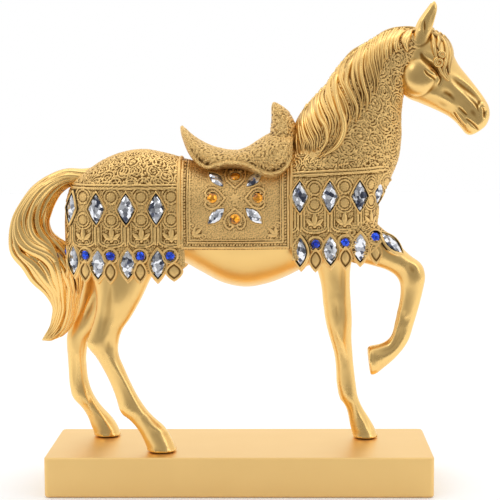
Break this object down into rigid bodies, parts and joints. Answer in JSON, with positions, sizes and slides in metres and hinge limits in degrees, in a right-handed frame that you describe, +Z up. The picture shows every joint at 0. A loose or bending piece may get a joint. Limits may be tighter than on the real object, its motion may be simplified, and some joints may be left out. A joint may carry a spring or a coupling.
{
  "type": "horse statue",
  "caption": "Gold-lacquered resin figurine of a walking horse in filigree barding set with flat-backed gems, standing on a plain rectangular plinth.",
  "frame": {"origin": "centre of the plinth's underside", "axes": "+X the way the horse walks, +Z up, so the horse's right side faces -Y"},
  "size_m": [0.3034, 0.08, 0.304],
  "materials": {
    "gold": "antiqued satin gold lacquer on cast resin, darker in the hollows",
    "satin_gold": "satin gold lacquer on cast resin",
    "crystal": "foil-backed clear acrylic, faceted",
    "blue_gem": "foil-backed blue acrylic, faceted",
    "amber_gem": "foil-backed amber acrylic, faceted"
  },
  "bodies": {
    "root": {"amber_left_bottom": "amber_gem", "amber_left_front": "amber_gem", "amber_left_rear": "amber_gem", "amber_left_top": "amber_gem", "amber_right_bottom": "amber_gem", "amber_right_front": "amber_gem", "amber_right_rear": "amber_gem", "amber_right_top": "amber_gem", "blue_chest_left_1": "blue_gem", "blue_chest_left_2": "blue_gem", "blue_chest_left_3": "blue_gem", "blue_chest_right_1": "blue_gem", "blue_chest_right_2": "blue_gem", "blue_chest_right_3": "blue_gem", "blue_rump_left_1": "blue_gem", "blue_rump_left_2": "blue_gem", "blue_rump_left_3": "blue_gem", "blue_rump_left_rear": "blue_gem", "blue_rump_right_1": "blue_gem", "blue_rump_right_2": "blue_gem", "blue_rump_right_3": "blue_gem", "blue_rump_right_last": "blue_gem", "blue_rump_right_rear": "blue_gem", "crystal_chest_hem_left_1": "crystal", "crystal_chest_hem_left_2": "crystal", "crystal_chest_hem_left_3": "crystal", "crystal_chest_hem_leg": "crystal", "crystal_chest_hem_right_1": "crystal", "crystal_chest_hem_right_2": "crystal", "crystal_chest_hem_right_3": "crystal", "crystal_chest_left_1": "crystal", "crystal_chest_left_2": "crystal", "crystal_chest_left_3": "crystal", "crystal_chest_left_front": "crystal", "crystal_chest_right_1": "crystal", "crystal_chest_right_2": "crystal", "crystal_chest_right_3": "crystal", "crystal_chest_right_front": "crystal", "crystal_cloth_1": "crystal", "crystal_cloth_2": "crystal", "crystal_cloth_3": "crystal", "crystal_cloth_4": "crystal", "crystal_rump_hem_left_1": "crystal", "crystal_rump_hem_left_2": "crystal", "crystal_rump_hem_left_3": "crystal", "crystal_rump_hem_left_rear": "crystal", "crystal_rump_hem_right_1": "crystal", "crystal_rump_hem_right_2": "crystal", "crystal_rump_hem_right_3": "crystal", "crystal_rump_hem_right_rear": "crystal", "crystal_rump_left_1": "crystal", "crystal_rump_left_2": "crystal", "crystal_rump_left_3": "crystal", "crystal_rump_left_rear": "crystal", "crystal_rump_right_1": "crystal", "crystal_rump_right_2": "crystal", "crystal_rump_right_3": "crystal", "crystal_rump_right_rear": "crystal", "horse": "gold", "plinth": "satin_gold"}
  },
  "joints": []
}
